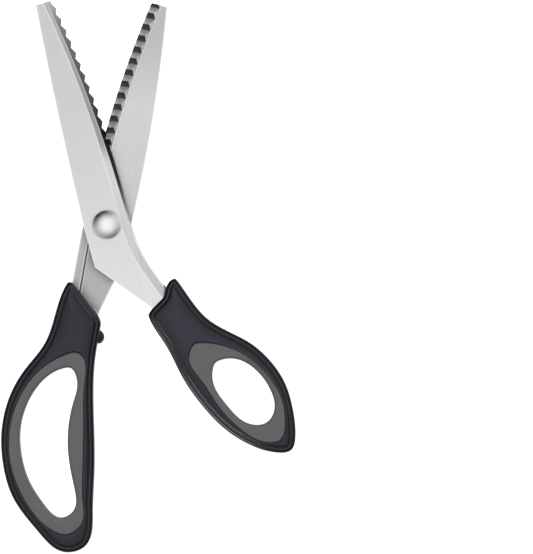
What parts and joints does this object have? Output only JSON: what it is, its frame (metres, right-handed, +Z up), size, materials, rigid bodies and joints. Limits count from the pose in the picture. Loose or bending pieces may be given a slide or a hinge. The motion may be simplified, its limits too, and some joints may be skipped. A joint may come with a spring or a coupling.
{
  "type": "pinking shears",
  "caption": "Pinking shears: two toothed steel blades on a domed pivot, with black handles lined in soft grey for the fingers and the thumb.",
  "frame": {"origin": "on the pivot axis, in the plane that the nut and both handles lie on", "axes": "+Z up along the pivot axis, +Y towards the blade tips, +X towards the thumb bow"},
  "size_m": [0.1238, 0.2317, 0.014],
  "materials": {
    "blade_steel": "stainless steel, brushed along the blade",
    "pivot_steel": "polished",
    "washer_steel": "plain bright steel",
    "handle_black": "satin moulded plastic, blue-black",
    "grip_grey": "matt soft lining, mid grey",
    "bumper_rubber": "matt"
  },
  "bodies": {
    "rear_half": {"rear_blade": "blade_steel", "finger_handle": "handle_black", "finger_grip": "grip_grey", "stop_bumper": "bumper_rubber", "pivot_screw": "pivot_steel", "spacer_washer": "washer_steel", "spring_washer": "washer_steel", "nut_washer": "washer_steel", "pivot_nut": "pivot_steel"},
    "front_half": {"front_blade": "blade_steel", "thumb_handle": "handle_black", "thumb_grip": "grip_grey"}
  },
  "joints": [
    {"name": "blade_pivot", "type": "hinge", "parent": "rear_half", "child": "front_half", "pos_m": [0, 0, 0], "axis": [0, 0, 1], "range_deg": [-25.7, 38]}
  ]
}
